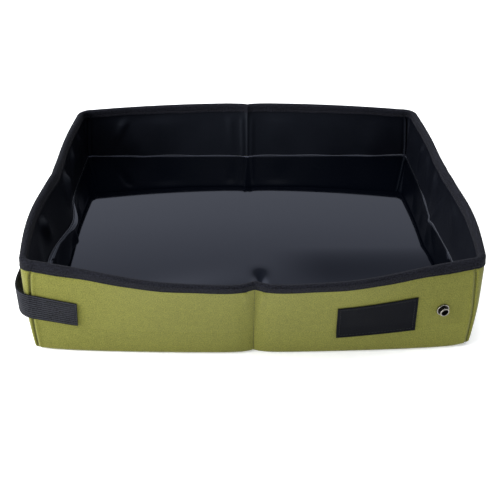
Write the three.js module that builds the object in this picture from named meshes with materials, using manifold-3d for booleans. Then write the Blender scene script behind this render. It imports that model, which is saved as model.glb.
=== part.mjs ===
// A folding travel litter box: two padded base halves that meet at a sewn crease across the middle,
// eight soft wall areas bound with tape round the rim, a webbing strap with a snap socket, and the stud
// that the strap closes on. Millimetres, +Z up. The origin is on the ground, under the middle crease,
// halfway between the front and the back wall. The front, with the strap and the stud, faces -Y.
import * as THREE from "three";
import { mergeVertices } from "three/addons/utils/BufferGeometryUtils.js";
import Module from "manifold-3d";

const wasm = await Module();
wasm.setup();

// Overall sizes
const wallSpan = 398; // outside of the left wall to outside of the right wall, at the corners
const wallDepth = 332; // outside of the front wall to outside of the back wall, at the corners
const rimHeight = 93; // ground to the top of the binding tape
const floorHeight = 34; // ground to the top of the floor lining
const cornerRadius = 6; // how roundly a side wall turns into its corner seams
const tightestCorner = 0.5; // where an inner layer lies deeper than the corner's own radius

// Clearances
const touchGap = 0.3; // between pieces that lie on each other
const creaseGap = 0.4; // between the right and the left half, at the middle crease

// Fabrics and fillings, outside to inside
const outerFabric = 0.8;
const wallBoard = 2;
const sidePad = 2;
const liningFabric = 0.6;
const baseBoard = 2;
const bindingTape = 0.8;
const bindingDrop = 8.6; // how far the tape reaches down the wall

// How far each wall bows out from the line between its corners
const frontRimBow = 31;
const frontFootBow = 5;
const backRimBow = 20;
const sideFrontBow = 7;
const sideBackBow = 3;

// How far the sewn creases pull a wall in
const frontRimPinch = 5;
const frontFootPinch = 2.6;
const backRimPinch = 2.5;
const creasePinchReach = 14;
const leftFloorPinch = 9;
const rightFloorPinch = 3;
const sidePinchReach = 34;

// Base cushions
const footRadius = 5.5; // roundness of the edge that meets the ground
const boardInset = 5; // the boards and pads stop short of the seams by this much
const padEdgeRadius = 5;

// Boards inside the front and back walls, and pads inside the side walls
const boardSeamInset = 5; // from a board's end to the seam that closes its pocket
const padCreaseInset = 3; // half of the gap between the two pads of a side wall
const pocketInset = 2.5; // from a board's or pad's lower edge to the wall's foot

// Webbing strap
const strapWidth = 25;
const strapThickness = 1.6;
const strapMiddleHeight = 47;
const strapSewnLength = 41; // from the corner seam to the sewn end
const strapBendRadius = 13;
const strapFreeLength = 127; // along the side wall
const strapEdgeRadius = 0.5;

// Snap fastener
const studFromSeam = 28.4; // from the corner seam
const studAboveFloor = 11.6;
const studFlangeRadius = 5.6;
const studFlangeThickness = 0.9;
const studNeckRadius = 3;
const studNeckTop = 2.1; // from the back of the flange
const studBulbRadius = 3.8;
const studBulbLow = 2.9; // from the back of the flange to where the bulb is widest
const studLength = 4.2;
const studBoreRadius = 2;
const studBoreDepth = 2.6;
const studBoreTaper = 0.4; // how much narrower the bore is at its floor
const washerRadius = 6;
const washerThickness = 0.7;
const socketRadius = 6.3;
const socketHeight = 3.2;
const socketMouthRadius = 4.1;
const socketMouthDepth = 2.4;
const socketInset = 13; // from the strap's end to the middle of the snap
const capRadius = 6.3;
const capEdge = 0.4; // height of the cap's upright edge
const capShoulderRadius = 5;
const capShoulderHeight = 0.95;
const capCrownRadius = 2.8;
const capRise = 1.2;
const rivetRadius = 1.4; // the posts that go through the wall and the webbing
const edgeEase = 0.4; // on the edges of the metal pieces

// Plain patch on the front wall
const patchFromSeam = 51.4; // from the corner seam
const patchWidth = 70;
const patchRise = 4.8; // its end near the corner sits this much higher than its other end
const patchBelowFloor = 11.3; // how far its middle hangs down over the base
const patchAboveFloor = 26.3;
const patchFabric = 0.6;
const patchFlare = 1.6; // how far its free lower edge stands off the base

// How finely the curved surfaces are divided
const wallSteps = 12;
const crowdingPower = 1.6;
const sideSteps = 19;
const closestPlaces = 0.5; // no two bends of a layer lie closer than this
const cornerSteps = 3;
const footSteps = 2;
const sewnSteps = 3;
const bendSteps = 7;
const roundSides = 20;
const mergeDistance = 0.0001;

// Worked out from the sizes above
const halfSpan = wallSpan / 2;
const halfDepth = wallDepth / 2;
const seamX = halfSpan - cornerRadius;
const seamY = halfDepth - cornerRadius;
const wallFoot = floorHeight + touchGap;
const wallTop = rimHeight - bindingTape - touchGap;
const fillingOuter = outerFabric + touchGap;
const liningOuter = fillingOuter + wallBoard + touchGap;
const wallThickness = liningOuter + liningFabric;
const cutOverrun = 10;
const studFromCrease = seamX - studFromSeam;
const studHeight = floorHeight + studAboveFloor;
const patchEnd = seamX - patchFromSeam;
const patchFromCrease = patchEnd - patchWidth;
const patchLowEdge = floorHeight - patchBelowFloor;
const patchTopEdge = floorHeight + patchAboveFloor;

// Shape of the walls seen from above

const mix = (low, high, share) => low + (high - low) * share;

function evenly(from, to, count) {
  return Array.from({ length: count + 1 }, (_, i) => mix(from, to, i / count));
}

// All layers of a wall bend at the same places, which crowd towards the middle crease, so that no layer
// cuts across its neighbour's curve.
const inOrder = (places) => places.sort((a, b) => a - b);
const pocketEnd = seamX - boardSeamInset;
const padEnd = seamY - boardSeamInset;
const wallPlaces = inOrder([
  ...evenly(0, 1, wallSteps).map((share) => seamX * share ** crowdingPower),
  boardSeamInset, pocketEnd, patchFromCrease, patchEnd, studFromCrease,
]);
const sidePlaces = inOrder([
  ...evenly(-seamY, seamY, sideSteps), -padEnd, -padCreaseInset, padCreaseInset, padEnd,
]);

// The shared places between two ends, and the ends themselves.
function within(places, from, to) {
  const chosen = [from];
  for (const place of places) {
    if (place > chosen.at(-1) + closestPlaces && place < to - closestPlaces) chosen.push(place);
  }
  return [...chosen, to];
}

const pinchAt = (distance, reach) => Math.exp(-((distance / reach) ** 2));
const arch = (x) => 1 - Math.min(1, Math.abs(x) / seamX) ** 2;

function frontOut(x, z) {
  const share = z / rimHeight;
  const bow = mix(frontFootBow, frontRimBow, share) * arch(x);
  const pinch = mix(frontFootPinch, frontRimPinch, share) * pinchAt(x, creasePinchReach);
  return halfDepth + (Math.abs(x) < seamX ? bow - pinch : 0);
}

function backOut(x, z) {
  const share = Math.max(0, (z - floorHeight) / (rimHeight - floorHeight));
  const bow = backRimBow * share * arch(x);
  return halfDepth + bow - backRimPinch * share * pinchAt(x, creasePinchReach);
}

function sideOut(y, z, floorPinch) {
  const bulge = Math.sin((Math.PI * Math.min(seamY, Math.abs(y))) / seamY);
  const bow = (y < 0 ? sideFrontBow : sideBackBow) * bulge * (z / rimHeight);
  const nearFloor = z < floorHeight ? z / floorHeight : (rimHeight - z) / (rimHeight - floorHeight);
  return halfSpan + bow - floorPinch * nearFloor * pinchAt(y, sidePinchReach);
}

const floorPinchOf = (side) => (side > 0 ? rightFloorPinch : leftFloorPinch);

// Columns of a wall: each gives the plan point at a depth inside the outer face and a height

function frontColumns(side, from, to) {
  return within(wallPlaces, from, to).map((x) => (inset, z) => [side * x, inset - frontOut(x, z)]);
}

function backColumns(side, from, to) {
  return within(wallPlaces, from, to).map((x) => (inset, z) => [side * x, backOut(x, z) - inset]);
}

function sideColumns(side, from, to) {
  const pinch = floorPinchOf(side);
  return within(sidePlaces, from, to).map((y) => (inset, z) => [side * (sideOut(y, z, pinch) - inset), y]);
}

function cornerColumns(side, end) {
  return evenly(0, 1, cornerSteps).map((share) => (inset) => {
    const angle = (share * Math.PI) / 2;
    const radius = Math.max(tightestCorner, cornerRadius - inset);
    const centreX = halfSpan - inset - radius;
    const centreY = halfDepth - inset - radius;
    return [side * (centreX + radius * Math.sin(angle)), end * (centreY + radius * Math.cos(angle))];
  });
}

// A side wall wraps both of its corners, so it runs from the front seam to the back seam.
function wholeSideColumns(side) {
  const front = cornerColumns(side, -1);
  const back = cornerColumns(side, 1).reverse();
  const straight = sideColumns(side, -seamY, seamY).slice(1, -1);
  return [...front, ...straight, ...back];
}

// Closed bodies

function signedVolume(points, faces) {
  let sum = 0;
  for (const [a, b, c] of faces) {
    const [p, q, r] = [points[a], points[b], points[c]];
    sum += p[0] * (q[1] * r[2] - q[2] * r[1]);
    sum += p[1] * (q[2] * r[0] - q[0] * r[2]);
    sum += p[2] * (q[0] * r[1] - q[1] * r[0]);
  }
  return sum;
}

// A mirrored piece comes out with its faces turned round, so they are turned back here.
function body(points, faces) {
  const inward = signedVolume(points, faces) < 0;
  const index = faces.flatMap(([a, b, c]) => (inward ? [a, c, b] : [a, b, c]));
  const geometry = new THREE.BufferGeometry();
  geometry.setAttribute("position", new THREE.Float32BufferAttribute(points.flat(), 3));
  geometry.setIndex(index);
  return geometry;
}

// Joins closed outlines of one point count, one after the other, and closes both ends. Each four-sided
// face is split from its lower corner in one outline to its upper corner in the next, so that layers
// which twist alike stay parallel.
function joinRings(rings, firstCap, lastCap = firstCap) {
  const count = rings[0].length;
  const points = rings.flat();
  const faces = [];
  for (let ring = 0; ring + 1 < rings.length; ring++) {
    for (let i = 0; i < count; i++) {
      const a = ring * count + i;
      const b = ring * count + ((i + 1) % count);
      const rising = points[b][2] >= points[a][2];
      if (rising) faces.push([a, b, b + count], [a, b + count, a + count]);
      else faces.push([a, b, a + count], [b, b + count, a + count]);
    }
  }
  const last = (rings.length - 1) * count;
  for (const [a, b, c] of firstCap) faces.push([a, c, b]);
  for (const [a, b, c] of lastCap) faces.push([last + a, last + b, last + c]);
  return body(points, faces);
}

const turnOf = ([p, q, r]) => Math.sign((q[0] - p[0]) * (r[1] - p[1]) - (q[1] - p[1]) * (r[0] - p[0]));

// Triangles that fill an outline, wound the way the outline runs.
function flatCap(outline) {
  const contour = outline.map(([u, v]) => new THREE.Vector2(u, v));
  const runs = Math.sign(THREE.ShapeUtils.area(contour));
  const triangles = THREE.ShapeUtils.triangulateShape(contour, []);
  const alike = ([a, b, c]) => turnOf([outline[a], outline[b], outline[c]]) === runs;
  return triangles.map((face) => (alike(face) ? face : [...face].reverse()));
}

// A length of wall: the profile, in depth and height, is carried from column to column, and can be
// lifted more at one column than at the next.
function wallPiece(columns, profile, liftAt = () => 0) {
  const rings = columns.map((at, place) => profile.map(([inset, level]) => {
    const z = level + liftAt(place);
    return [...at(inset, z), z];
  }));
  return joinRings(rings, flatCap(profile));
}

// A layer between two depths, with bends at the given heights, lowest first.
function layerProfile(outer, inner, heights) {
  const down = [...heights].reverse();
  return [...heights.map((z) => [inner, z]), ...down.map((z) => [outer, z])];
}

// A pocket ends above the wall's foot and where the binding tape begins. The layers of a wall bend at the
// same heights, and those of the front wall bend where the stud and the patch lie on it as well.
const bindingLow = rimHeight - bindingDrop;
const plainHeights = [wallFoot + pocketInset, bindingLow];
const frontHeights = [wallFoot + pocketInset, studHeight, patchTopEdge, bindingLow];

// Tape folded over the rim, with its two top edges eased.
function bindingProfile() {
  const outside = -(touchGap + bindingTape);
  const inside = wallThickness + touchGap + bindingTape;
  const low = bindingLow;
  const under = rimHeight - bindingTape;
  const ease = bindingTape;
  return [
    [outside, low], [outside + bindingTape, low], [outside + bindingTape, under],
    [inside - bindingTape, under], [inside - bindingTape, low], [inside, low],
    [inside, rimHeight - ease], [inside - ease, rimHeight],
    [outside + ease, rimHeight], [outside, rimHeight - ease],
  ];
}

// Base cushions

function halfOutline(side, z, inset, creaseInset) {
  const columns = [
    ...frontColumns(side, creaseInset, seamX).slice(0, -1),
    ...wholeSideColumns(side),
    ...backColumns(side, creaseInset, seamX).slice(0, -1).reverse(),
  ];
  return columns.map((at) => at(inset, z));
}

function layered(side, levels, creaseInset) {
  const rings = levels.map(([z, inset]) => halfOutline(side, z, inset, creaseInset).map((p) => [...p, z]));
  return joinRings(rings, flatCap(rings[0]), flatCap(rings.at(-1)));
}

function roundedLevels(low, high, inset, radius, roundTop) {
  const foot = evenly(0, Math.PI / 2, footSteps).map((angle) => [
    low + radius * (1 - Math.cos(angle)),
    inset + radius * (1 - Math.sin(angle)),
  ]);
  const top = foot.map(([z, distance]) => [low + high - z, distance]).reverse();
  return roundTop ? [...foot, ...top] : [...foot, [high, inset]];
}

function baseCover(side) {
  const levels = roundedLevels(0, floorHeight, 0, footRadius, false);
  levels.splice(-1, 0, [patchLowEdge, 0]);
  const outside = layered(side, levels, creaseGap / 2);
  const hollow = roundedLevels(outerFabric, floorHeight, outerFabric, footRadius, false);
  hollow.push([floorHeight + cutOverrun, outerFabric]);
  return cut(outside, layered(side, hollow, -cutOverrun));
}

function basePieces(side) {
  const liningLow = floorHeight - liningFabric;
  const boardLow = outerFabric + touchGap;
  const padLow = boardLow + baseBoard + touchGap;
  const inside = outerFabric + touchGap;
  const filled = footRadius + boardInset;
  return {
    base_cover: [baseCover(side), olive],
    base_board: [layered(side, [[boardLow, filled], [boardLow + baseBoard, filled]], boardInset), board],
    base_pad: [layered(side, roundedLevels(padLow, liningLow - touchGap, boardInset, padEdgeRadius, true),
      boardInset), foam],
    floor_lining: [layered(side, [[liningLow, inside], [floorHeight, inside]], creaseGap / 2), film],
  };
}

// Front and back walls

function foldingWall(side, columnsBetween, pocketHeights, pierce = (layer) => layer) {
  const whole = columnsBetween(side, creaseGap / 2, seamX - touchGap);
  const pocket = columnsBetween(side, boardSeamInset, pocketEnd);
  const heights = [wallFoot, ...pocketHeights, wallTop];
  const boardInner = fillingOuter + wallBoard;
  return {
    outer: [pierce(wallPiece(whole, layerProfile(0, outerFabric, heights))), olive],
    board: [pierce(wallPiece(pocket, layerProfile(fillingOuter, boardInner, pocketHeights))), board],
    lining: [pierce(wallPiece(whole, layerProfile(liningOuter, wallThickness, heights))), lining],
    binding: [wallPiece(whole, bindingProfile()), tape],
  };
}

// Side walls

function sideWall(side) {
  const padProfile = layerProfile(fillingOuter, fillingOuter + sidePad, plainHeights);
  const columns = wholeSideColumns(side);
  const heights = [wallFoot, ...plainHeights, wallTop];
  return {
    outer: [wallPiece(columns, layerProfile(0, outerFabric, heights)), olive],
    pad_front: [wallPiece(sideColumns(side, -padEnd, -padCreaseInset), padProfile), foam],
    pad_back: [wallPiece(sideColumns(side, padCreaseInset, padEnd), padProfile), foam],
    lining: [wallPiece(columns, layerProfile(liningOuter, wallThickness, heights)), lining],
    binding: [wallPiece(columns, bindingProfile()), tape],
  };
}

// Strap

// The webbing's section across its width, with eased edges: [distance from its inner face, height].
function webbingProfile() {
  const low = strapMiddleHeight - strapWidth / 2;
  const high = strapMiddleHeight + strapWidth / 2;
  const ease = strapEdgeRadius;
  const thick = strapThickness;
  return [
    [0, low + ease], [ease, low], [thick - ease, low], [thick, low + ease],
    [thick, high - ease], [thick - ease, high], [ease, high], [0, high - ease],
  ];
}

// The free part stands off the side wall by the wall's bow and the depth of the socket.
const strapTop = strapMiddleHeight + strapWidth / 2;
const strapStandoff = sideFrontBow * (strapTop / rimHeight) + socketHeight + 2 * touchGap;
const strapTurnX = -(halfSpan + strapStandoff - strapBendRadius);
const strapFaceY = -(halfDepth + touchGap);

// The sewn part follows the front wall to the corner, and runs straight on past the seam.
function strapAnchor() {
  const reach = -strapTurnX - touchGap / 2;
  const columns = evenly(seamX - strapSewnLength, reach, sewnSteps).map((x) => (out, z) => {
    const wall = x < seamX ? frontOut(x, z) - halfDepth : 0;
    return [-x, strapFaceY - wall - out];
  });
  return wallPiece(columns, webbingProfile());
}

// The free part turns the corner at a little distance and lies along the left wall.
function strapFreeEnd() {
  const centreY = strapFaceY + strapBendRadius;
  const start = (out) => [strapTurnX - touchGap / 2, strapFaceY - out];
  const bend = evenly(0, Math.PI / 2, bendSteps).slice(1).map((angle) => (out) => {
    const radius = strapBendRadius + out;
    return [strapTurnX - radius * Math.sin(angle), centreY - radius * Math.cos(angle)];
  });
  const end = (out) => [strapTurnX - strapBendRadius - out, centreY + strapFreeLength];
  return cut(wallPiece([start, ...bend, end], webbingProfile()), postHole(snapSeat));
}

// Snap fastener: turned pieces, drawn as [radius, distance along the axis]

function turned(profile) {
  const points = profile.map(([r, z]) => new THREE.Vector2(r, z));
  return new THREE.LatheGeometry(points, roundSides).rotateX(Math.PI / 2);
}

// The stud stands square to the front wall, which leans and curves where it sits.
const studSeat = new THREE.Group();
const rise = frontOut(studFromCrease, studHeight + strapWidth) - frontOut(studFromCrease, studHeight);
const fall = frontOut(studFromCrease - strapWidth, studHeight) - frontOut(studFromCrease, studHeight);
studSeat.position.set(studFromCrease, -frontOut(studFromCrease, studHeight), studHeight);
studSeat.rotation.set(Math.PI / 2 + Math.atan2(rise, strapWidth), 0, Math.atan2(fall, strapWidth), "ZXY");

// The socket and its cap sit on the two faces of the strap, and the cap's side faces outwards.
const snapSeat = new THREE.Group();
const snapY = strapFaceY + strapBendRadius + strapFreeLength - socketInset;
snapSeat.position.set(strapTurnX - strapBendRadius, snapY, strapMiddleHeight);
snapSeat.rotation.set(0, -Math.PI / 2, 0);

// What a post needs to pass through the layers at a seat.
function postHole(seat) {
  const radius = rivetRadius + touchGap;
  const hole = turned([[0, -cutOverrun], [radius, -cutOverrun], [radius, cutOverrun], [0, cutOverrun]]);
  seat.updateMatrixWorld(true);
  return hole.applyMatrix4(seat.matrixWorld);
}

const washerFace = wallThickness + touchGap; // from the wall's outer face to the washer

// A ring stud: a flange, a narrow neck and a hollow bulb, with a post that goes through the wall.
function snapStud() {
  const postEnd = -(washerFace + washerThickness + touchGap);
  const boreFloor = studLength - studBoreDepth;
  return turned([
    [0, postEnd], [rivetRadius, postEnd], [rivetRadius, 0], [studFlangeRadius, 0],
    [studFlangeRadius, studFlangeThickness - edgeEase], [studFlangeRadius - edgeEase, studFlangeThickness],
    [studNeckRadius, studFlangeThickness], [studNeckRadius, studNeckTop], [studBulbRadius, studBulbLow],
    [studBulbRadius, studLength - edgeEase], [studBulbRadius - edgeEase, studLength],
    [studBoreRadius, studLength], [studBoreRadius - studBoreTaper, boreFloor], [0, boreFloor],
  ]);
}

function studWasher() {
  const bore = rivetRadius + touchGap;
  return turned([
    [bore, 0], [washerRadius, 0], [washerRadius, washerThickness - edgeEase],
    [washerRadius - edgeEase, washerThickness], [bore, washerThickness], [bore, 0],
  ]);
}

function snapSocket() {
  const mouthFloor = socketHeight - socketMouthDepth;
  return turned([
    [0, 0], [socketRadius, 0], [socketRadius, socketHeight - edgeEase],
    [socketRadius - edgeEase, socketHeight], [socketMouthRadius, socketHeight],
    [socketMouthRadius, mouthFloor], [0, mouthFloor],
  ]);
}

function snapCap() {
  const postEnd = -(strapThickness + touchGap);
  return turned([
    [0, postEnd], [rivetRadius, postEnd], [rivetRadius, 0], [capRadius, 0], [capRadius, capEdge],
    [capShoulderRadius, capShoulderHeight], [capCrownRadius, capRise], [0, capRise],
  ]);
}

// Patch, which lies askew on the front wall and follows it, and hangs a little clear of the base below

function patch() {
  const places = within(wallPlaces, patchFromCrease, patchEnd);
  const middle = (patchFromCrease + patchEnd) / 2;
  const lift = (place) => (patchRise * (places[place] - middle)) / patchWidth;
  const heights = [floorHeight, studHeight, patchTopEdge];
  const low = -(touchGap + patchFlare);
  const profile = layerProfile(-touchGap - patchFabric, -touchGap, heights);
  const outline = [[low, patchLowEdge], ...profile, [low - patchFabric, patchLowEdge]];
  return wallPiece(frontColumns(1, patchFromCrease, patchEnd), outline, lift);
}

// Cutting one closed body with another

function toManifold(geometry) {
  const plain = geometry.clone();
  plain.deleteAttribute("normal");
  plain.deleteAttribute("uv");
  const merged = mergeVertices(plain, mergeDistance);
  const vertProperties = new Float32Array(merged.attributes.position.array);
  const triVerts = new Uint32Array(merged.index.array);
  return new wasm.Manifold(new wasm.Mesh({ numProp: 3, vertProperties, triVerts }));
}

function cut(whole, tool) {
  const mesh = toManifold(whole).subtract(toManifold(tool)).getMesh();
  const geometry = new THREE.BufferGeometry();
  geometry.setAttribute("position", new THREE.Float32BufferAttribute(mesh.vertProperties, 3));
  geometry.setIndex(Array.from(mesh.triVerts));
  return geometry;
}

// Materials

function finish(color, roughness, metalness = 0) {
  return { color, roughness, metalness };
}

const olive = finish(0x9aa03f, 0.85);
const lining = finish(0x1b1c22, 0.55);
const film = finish(0x0c0d12, 0.12);
const tape = finish(0x2b2d35, 0.9);
const webbing = finish(0x2a2b30, 0.85);
const patchCloth = finish(0x1d1e25, 0.8);
const board = finish(0xc9c5b8, 0.8);
const foam = finish(0xe8e6df, 0.95);
const nickel = finish(0xb9b9b6, 0.28, 1);

// Assembly

const litterBox = new THREE.Group();
litterBox.add(studSeat, snapSeat);

function add(name, [geometry, look], group = litterBox) {
  const mesh = new THREE.Mesh(geometry, new THREE.MeshStandardMaterial(look));
  mesh.name = name;
  group.add(mesh);
  return mesh;
}

const pierceForStud = (layer) => cut(layer, postHole(studSeat));

for (const [side, sideName] of [[1, "right"], [-1, "left"]]) {
  const walls = [
    ["front", foldingWall(side, frontColumns, frontHeights, side > 0 ? pierceForStud : undefined)],
    ["back", foldingWall(side, backColumns, plainHeights)],
  ];
  for (const [piece, made] of Object.entries(basePieces(side))) add(`${piece}_${sideName}`, made);
  for (const [piece, made] of Object.entries(sideWall(side))) add(`${sideName}_side_${piece}`, made);
  for (const [wall, pieces] of walls) {
    for (const [piece, made] of Object.entries(pieces)) add(`${wall}_${sideName}_${piece}`, made);
  }
}

add("patch", [patch(), patchCloth]);
add("strap_sewn_end", [strapAnchor(), webbing]);
add("strap_free_end", [strapFreeEnd(), webbing]);

const stud = add("snap_stud", [snapStud(), nickel], studSeat);
stud.position.z = touchGap;
const washer = add("snap_stud_washer", [studWasher(), nickel], studSeat);
washer.rotation.x = Math.PI;
washer.position.z = -washerFace;
const socket = add("snap_socket", [snapSocket(), nickel], snapSeat);
socket.rotation.x = Math.PI;
socket.position.z = -touchGap;
const cap = add("snap_cap", [snapCap(), nickel], snapSeat);
cap.position.z = strapThickness + touchGap;

export default litterBox;
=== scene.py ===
# %% [markdown]
# # A folding travel litter box in fabric
#
# The object is a soft tray of coated fabric. Its outside is an olive green oxford weave, its inside is
# black, the floor is covered with a film that shines like a wet road, and a charcoal tape binds the rim.
# The imported model gives the frame that everything here is fitted to: bodies and sizes.

# %% Load the frame
import math

import bpy
import numpy as np
from mathutils import Matrix, Vector


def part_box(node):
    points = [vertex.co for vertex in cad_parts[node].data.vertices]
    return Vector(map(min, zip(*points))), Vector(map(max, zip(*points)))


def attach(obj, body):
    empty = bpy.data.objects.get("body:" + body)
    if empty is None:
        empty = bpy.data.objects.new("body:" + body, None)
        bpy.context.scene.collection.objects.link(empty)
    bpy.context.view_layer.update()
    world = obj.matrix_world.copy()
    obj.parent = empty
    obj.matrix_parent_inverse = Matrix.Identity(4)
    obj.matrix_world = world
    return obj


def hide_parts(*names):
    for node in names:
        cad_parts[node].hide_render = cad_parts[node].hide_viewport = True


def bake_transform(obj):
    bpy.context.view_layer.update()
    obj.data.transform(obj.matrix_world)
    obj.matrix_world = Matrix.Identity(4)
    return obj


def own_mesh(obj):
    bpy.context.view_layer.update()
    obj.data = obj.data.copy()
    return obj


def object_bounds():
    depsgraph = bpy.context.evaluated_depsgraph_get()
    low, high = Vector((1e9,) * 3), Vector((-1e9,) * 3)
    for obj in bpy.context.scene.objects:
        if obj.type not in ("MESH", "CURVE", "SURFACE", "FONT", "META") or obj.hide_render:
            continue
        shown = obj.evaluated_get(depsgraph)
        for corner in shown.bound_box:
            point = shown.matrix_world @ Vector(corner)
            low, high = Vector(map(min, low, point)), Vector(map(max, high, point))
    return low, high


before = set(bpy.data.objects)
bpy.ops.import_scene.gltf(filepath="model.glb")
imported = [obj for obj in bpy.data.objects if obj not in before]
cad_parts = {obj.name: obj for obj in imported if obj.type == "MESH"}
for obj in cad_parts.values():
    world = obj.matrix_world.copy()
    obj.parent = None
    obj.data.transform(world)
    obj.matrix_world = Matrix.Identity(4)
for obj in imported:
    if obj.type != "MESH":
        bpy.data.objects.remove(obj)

cad_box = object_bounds()
print("box in mm:", [round(1000 * (high - low)) for low, high in zip(*cad_box)])

# %% [markdown]
# ## The camera
#
# The photograph was taken from a little above, with a normal lens. The rim's corners and the foot of the
# front wall gave the distance, the height and the small turn and roll of the camera. The camera's own
# axes are written out as a matrix, because that keeps the roll exact.

# %% Camera
MM = 0.001
SENSOR = 36.0
LENS = 57.9
CAMERA_PLACE = (-16.3, -732.6, 462.5)
CAMERA_TARGET = (0.3, 0.0, -0.7)
CAMERA_ROLL = math.radians(0.4)


def camera_axes():
    ahead = (Vector(CAMERA_TARGET) - Vector(CAMERA_PLACE)).normalized()
    level = ahead.cross(Vector((0, 0, 1))).normalized()
    upright = level.cross(ahead)
    across = level * math.cos(CAMERA_ROLL) + upright * math.sin(CAMERA_ROLL)
    return across, across.cross(ahead), -ahead


camera_data = bpy.data.cameras.new("photo_camera")
camera_data.sensor_width = SENSOR
camera_data.lens = LENS
camera = bpy.data.objects.new("photo_camera", camera_data)
bpy.context.collection.objects.link(camera)
turn = Matrix(camera_axes()).transposed().to_4x4()
camera.matrix_world = Matrix.Translation(Vector(CAMERA_PLACE) * MM) @ turn
bpy.context.scene.camera = camera
print("camera", [round(v, 3) for v in camera.location], "lens", LENS)

# %% [markdown]
# ## Turning sums into shader nodes
#
# Every finish below is procedural. Writing `1 - gaps * 0.3` is easier to read than a row of Math nodes,
# so one small class wraps a socket and answers to the usual operators. A second class holds a material
# and has a single method that adds any other node.

# %% Shader helpers
def math_node(operation, turned_round=False):
    """A method that adds a Math node, fed by the amount itself and by what it is called with."""
    def method(self, *others):
        values = (*others, self) if turned_round else (self, *others)
        return self.finish.node("ShaderNodeMath", {"operation": operation}, dict(enumerate(values)))
    return method


class Amount:
    """A number that varies over a surface."""

    __add__, __sub__ = math_node("ADD"), math_node("SUBTRACT")
    __mul__, __truediv__ = math_node("MULTIPLY"), math_node("DIVIDE")
    __radd__, __rsub__ = math_node("ADD"), math_node("SUBTRACT", turned_round=True)
    __abs__, wave = math_node("ABSOLUTE"), math_node("SINE")
    at_most, at_least = math_node("MINIMUM"), math_node("MAXIMUM")

    def __init__(self, finish, socket):
        self.finish, self.socket = finish, socket

    def held(self):
        """Kept between 0 and 1."""
        return self.at_most(1.0).at_least(0.0)


class Finish:
    """A material with one Principled shader, and the nodes that feed it."""

    def __init__(self, name, **constants):
        self.material = bpy.data.materials.new(name)
        self.material.use_nodes = True
        self.tree = self.material.node_tree
        self.shader = self.tree.nodes["Principled BSDF"]
        self.set(**constants)

    def plug(self, target, value):
        if isinstance(value, Amount):
            self.tree.links.new(value.socket, target)
        else:
            target.default_value = value

    def set(self, **sockets):
        for name, value in sockets.items():
            self.plug(self.shader.inputs[name.replace("_", " ")], value)

    def node(self, kind, settings=None, inputs=None, output=0):
        made = self.tree.nodes.new(kind)
        for name, value in (settings or {}).items():
            setattr(made, name, value)
        for key, value in (inputs or {}).items():
            self.plug(made.inputs[key], value)
        return Amount(self, made.outputs[output])

    def parts(self, vector):
        """The X, Y and Z of a vector."""
        split = self.node("ShaderNodeSeparateXYZ", None, {"Vector": vector})
        return [Amount(self, socket) for socket in split.socket.node.outputs]

    def mixed(self, share, first, second):
        """A colour between two colours."""
        return self.node("ShaderNodeMix", {"data_type": "RGBA"}, {0: share, 6: first, 7: second}, output=2)

    def noise(self, place, scale, detail=2.0):
        return self.node("ShaderNodeTexNoise", None, {"Vector": place, "Scale": scale, "Detail": detail})

    def bump(self, height, distance, strength=1.0):
        inputs = {"Height": height, "Distance": distance, "Strength": strength}
        return self.node("ShaderNodeBump", None, inputs)


def rgb(*levels):
    """A colour as it is read off a screen, 0 to 255, in the linear values that shaders use."""
    linear = [v / 255 / 12.92 if v < 10.3 else ((v / 255 + 0.055) / 1.055) ** 2.4 for v in levels]
    return (*linear, 1.0)


print("a screen's mid grey is", [round(v, 3) for v in rgb(128, 128, 128)])

# %% [markdown]
# ## Where a weave gets its place from
#
# Each piece of cloth below is laid out flat in metres in a UV map named `cloth`, so a weave keeps its
# true size wherever the cloth bends, and it bends with the cloth when the tray folds.

# %% Cloth coordinates
def cloth_place(finish):
    return finish.node("ShaderNodeUVMap", {"uv_map": "cloth"})


def woven(finish, pitch):
    """Height of a plain weave: threads pass over and under each other, from 0 in a gap to 1 on a crown."""
    along, across, _ = finish.parts(cloth_place(finish))
    return abs((along * (math.pi / pitch)).wave() * (across * (math.pi / pitch)).wave())


print("cloth is laid out in metres")

# %% [markdown]
# ## The olive outside
#
# Oxford cloth is a plain weave of thick polyester yarn. Close to, each crossing catches the light, and
# from a step away that reads as a fine speckle. The speckle is a noise of thread size, and two larger
# noises give the slow change of tone that a stretched cloth shows.

# %% Olive oxford cloth
def olive_cloth():
    cloth = Finish("olive_oxford", Roughness=0.85, Specular_IOR_Level=0.2)
    cloth.set(Sheen_Weight=0.12, Sheen_Roughness=0.5)
    place = cloth_place(cloth)
    weave = woven(cloth, 0.9 * MM)
    speckle = cloth.noise(place, 950.0, 1.0)
    mottle = cloth.noise(place, 190.0, 2.0)
    tone = cloth.noise(place, 14.0, 2.0)
    shade = (speckle - 0.5) * 1.5 + (mottle - 0.5) * 0.35 + (weave - 0.5) * 0.2 + (tone - 0.5) * 0.3 + 0.5
    cloth.set(Base_Color=cloth.mixed(shade.held(), rgb(75, 75, 17), rgb(120, 120, 46)))
    cloth.set(Normal=cloth.bump(weave * 0.6 + speckle * 0.4, 0.00012, 0.4))
    return cloth.material


OLIVE = olive_cloth()
print("made", OLIVE.name)
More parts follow.
